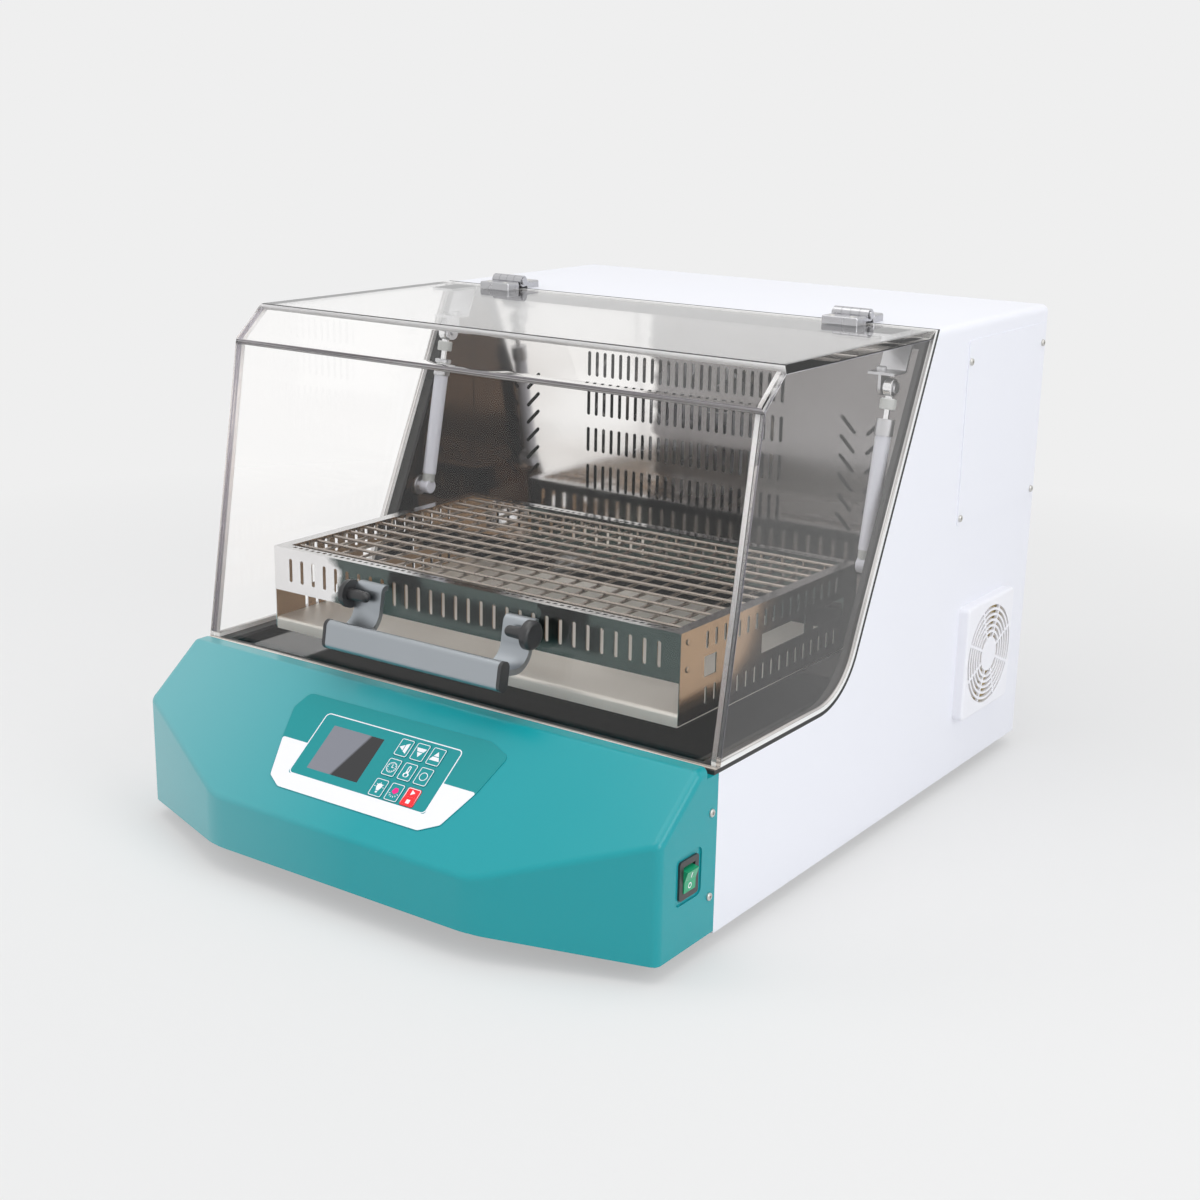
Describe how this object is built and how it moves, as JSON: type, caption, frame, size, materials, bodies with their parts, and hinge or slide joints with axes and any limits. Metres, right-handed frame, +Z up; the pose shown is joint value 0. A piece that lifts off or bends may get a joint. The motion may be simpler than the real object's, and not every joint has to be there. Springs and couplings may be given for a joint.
{
  "type": "incubated benchtop shaker",
  "caption": "Benchtop shaking incubator with a clear hinged lid on gas struts, a sloped control panel and a spring-wire tray on an orbital drive.",
  "frame": {"origin": "on the bench, under the middle of the cabinet's width and depth; the fan guard at the right moves the middle of the whole box by 5 mm", "axes": "+X to the instrument's right as seen from the front, +Y to the back, +Z up"},
  "size_m": [0.6142, 0.7909, 0.507],
  "materials": {
    "galvanised_steel": "dull zinc",
    "foot_rubber": "matt",
    "white_enamel": "smooth powder coat",
    "screw_steel": "bright",
    "black_plastic": "fine matt",
    "teal_plastic": "satin gloss",
    "panel_film": "printed film",
    "display_window": "clear window",
    "circuit_board": "lacquered",
    "green_plastic": "gloss",
    "white_plastic": "fine matt",
    "filter_mat": "open fleece",
    "polished_steel": "mirror polish",
    "insulation_mat": "fibre mat",
    "brushed_metal": "brushed",
    "motor_steel": "satin",
    "heater_tube": "heat-tinted",
    "gasket_rubber": "soft",
    "clear_acrylic": "clear, polished edges",
    "seal_white": "soft",
    "hinge_metal": "satin",
    "handle_aluminium": "satin anodised",
    "strut_grey": "satin grey",
    "rod_chrome": "polished",
    "tray_steel": "bright rolled",
    "spring_wire": "bright drawn",
    "cast_metal": "machined",
    "belt_rubber": "matt",
    "key_film": "embossed film",
    "key_red": "embossed film",
    "key_pink": "embossed film"
  },
  "bodies": {
    "cabinet": {"base_pan": "galvanised_steel", "feet": "foot_rubber", "cabinet_shell": "white_enamel", "rear_panel": "white_enamel", "access_panel": "white_enamel", "case_screws": "screw_steel", "power_inlet": "black_plastic", "front_cover": "teal_plastic", "panel_overlay": "panel_film", "lcd_window": "display_window", "control_board": "circuit_board", "power_switch_bezel": "black_plastic", "fan_guard": "white_plastic", "fan_filter": "filter_mat", "cooling_fan_frame": "black_plastic", "chamber_liner": "polished_steel", "insulation": "insulation_mat", "duct_panel": "polished_steel", "circulation_motor": "motor_steel", "heater_coil": "heater_tube", "temperature_probe": "brushed_metal", "opening_gasket": "gasket_rubber", "hinge_leaves_cabinet": "hinge_metal", "hinge_pins": "hinge_metal", "strut_wall_studs": "hinge_metal", "bearing_housings": "cast_metal", "drive_motor": "motor_steel", "drive_belt": "belt_rubber"},
    "lid": {"lid_sheet": "clear_acrylic", "lid_side_left": "clear_acrylic", "lid_side_right": "clear_acrylic", "lid_edge_strip": "seal_white", "hinge_leaves_lid": "hinge_metal", "handle_bar": "handle_aluminium", "handle_brackets": "handle_aluminium", "handle_caps": "black_plastic", "strut_lid_brackets": "hinge_metal"},
    "strut_cylinder_left": {"strut_cylinder_left": "strut_grey"},
    "strut_rod_left": {"strut_rod_left": "rod_chrome"},
    "idler_left": {"idler_crank_left": "cast_metal"},
    "strut_cylinder_right": {"strut_cylinder_right": "strut_grey"},
    "strut_rod_right": {"strut_rod_right": "rod_chrome"},
    "idler_right": {"idler_crank_right": "cast_metal"},
    "key_light": {"key_light": "key_film"},
    "key_lamp": {"key_lamp": "key_pink"},
    "key_start_stop": {"key_start_stop": "key_red"},
    "key_timer": {"key_timer": "key_film"},
    "key_temperature": {"key_temperature": "key_film"},
    "key_speed": {"key_speed": "key_film"},
    "key_left": {"key_left": "key_film"},
    "key_down": {"key_down": "key_film"},
    "key_up": {"key_up": "key_film"},
    "power_rocker": {"power_switch_rocker": "green_plastic"},
    "cooling_wheel": {"cooling_fan_impeller": "black_plastic"},
    "blower_wheel": {"circulation_impeller": "brushed_metal"},
    "motor_pulley": {"motor_pulley": "brushed_metal"},
    "crank": {"drive_crank": "cast_metal"},
    "tray": {"tray_platform": "tray_steel", "tray_basket": "tray_steel", "tray_wires": "spring_wire"}
  },
  "joints": [
    {"name": "lid_hinge", "type": "hinge", "parent": "cabinet", "child": "lid", "pos_m": [0, 0.121, 0.501], "axis": [-1, 0, 0], "range_deg": [0, 60]},
    {"name": "strut_swing_left", "type": "hinge", "parent": "lid", "child": "strut_rod_left", "pos_m": [-0.2685, 0.085, 0.44], "axis": [1, 0, 0], "range_deg": [0, 74.15]},
    {"name": "strut_stroke_left", "type": "slide", "parent": "strut_rod_left", "child": "strut_cylinder_left", "axis": [0, -0.2007, -0.9797], "range_m": [0, 0.054]},
    {"name": "strut_swing_right", "type": "hinge", "parent": "lid", "child": "strut_rod_right", "pos_m": [0.2685, 0.085, 0.44], "axis": [1, 0, 0], "range_deg": [0, 74.15]},
    {"name": "strut_stroke_right", "type": "slide", "parent": "strut_rod_right", "child": "strut_cylinder_right", "axis": [0, -0.2007, -0.9797], "range_m": [0, 0.054]},
    {"name": "crank_spin", "type": "hinge", "parent": "cabinet", "child": "crank", "pos_m": [0, -0.0505, 0.07], "axis": [0, 0, 1], "continuous": true},
    {"name": "tray_pivot", "type": "hinge", "parent": "crank", "child": "tray", "pos_m": [0, -0.0605, 0.186], "axis": [0, 0, 1], "continuous": true},
    {"name": "idler_spin_left", "type": "hinge", "parent": "cabinet", "child": "idler_left", "pos_m": [-0.15, -0.0505, 0.1], "axis": [0, 0, 1], "continuous": true},
    {"name": "idler_spin_right", "type": "hinge", "parent": "cabinet", "child": "idler_right", "pos_m": [0.15, -0.0505, 0.1], "axis": [0, 0, 1], "continuous": true},
    {"name": "motor_spin", "type": "hinge", "parent": "cabinet", "child": "motor_pulley", "pos_m": [0, 0.11, 0.07], "axis": [0, 0, 1], "continuous": true},
    {"name": "blower_spin", "type": "hinge", "parent": "cabinet", "child": "blower_wheel", "pos_m": [0, 0.176, 0.352], "axis": [0, 1, 0], "continuous": true},
    {"name": "cooling_fan_spin", "type": "hinge", "parent": "cabinet", "child": "cooling_wheel", "pos_m": [0.282, 0.2794, 0.1359], "axis": [1, 0, 0], "continuous": true},
    {"name": "power_rocker_tilt", "type": "hinge", "parent": "cabinet", "child": "power_rocker", "pos_m": [0.293, -0.2895, 0.0815], "axis": [0, 1, 0], "range_deg": [-20, 0]},
    {"name": "key_press_light", "type": "slide", "parent": "cabinet", "child": "key_light", "axis": [0, 0.6121, -0.7908], "range_m": [0, 0.0005], "stiffness_N_per_m": 600},
    {"name": "key_press_lamp", "type": "slide", "parent": "cabinet", "child": "key_lamp", "axis": [0, 0.6121, -0.7908], "range_m": [0, 0.0005], "stiffness_N_per_m": 600},
    {"name": "key_press_start_stop", "type": "slide", "parent": "cabinet", "child": "key_start_stop", "axis": [0, 0.6121, -0.7908], "range_m": [0, 0.0005], "stiffness_N_per_m": 600},
    {"name": "key_press_timer", "type": "slide", "parent": "cabinet", "child": "key_timer", "axis": [0, 0.6121, -0.7908], "range_m": [0, 0.0005], "stiffness_N_per_m": 600},
    {"name": "key_press_temperature", "type": "slide", "parent": "cabinet", "child": "key_temperature", "axis": [0, 0.6121, -0.7908], "range_m": [0, 0.0005], "stiffness_N_per_m": 600},
    {"name": "key_press_speed", "type": "slide", "parent": "cabinet", "child": "key_speed", "axis": [0, 0.6121, -0.7908], "range_m": [0, 0.0005], "stiffness_N_per_m": 600},
    {"name": "key_press_left", "type": "slide", "parent": "cabinet", "child": "key_left", "axis": [0, 0.6121, -0.7908], "range_m": [0, 0.0005], "stiffness_N_per_m": 600},
    {"name": "key_press_down", "type": "slide", "parent": "cabinet", "child": "key_down", "axis": [0, 0.6121, -0.7908], "range_m": [0, 0.0005], "stiffness_N_per_m": 600},
    {"name": "key_press_up", "type": "slide", "parent": "cabinet", "child": "key_up", "axis": [0, 0.6121, -0.7908], "range_m": [0, 0.0005], "stiffness_N_per_m": 600}
  ],
  "couplings": [
    {"joint": "strut_swing_left", "follows": "lid_hinge", "ratio": 1.2275},
    {"joint": "strut_stroke_left", "follows": "lid_hinge", "m_per_rad": 0.050993},
    {"joint": "strut_swing_right", "follows": "lid_hinge", "ratio": 1.2275},
    {"joint": "strut_stroke_right", "follows": "lid_hinge", "m_per_rad": 0.050993},
    {"joint": "tray_pivot", "follows": "crank_spin", "ratio": -1},
    {"joint": "idler_spin_left", "follows": "crank_spin", "ratio": 1},
    {"joint": "idler_spin_right", "follows": "crank_spin", "ratio": 1},
    {"joint": "motor_spin", "follows": "crank_spin", "ratio": 4}
  ]
}
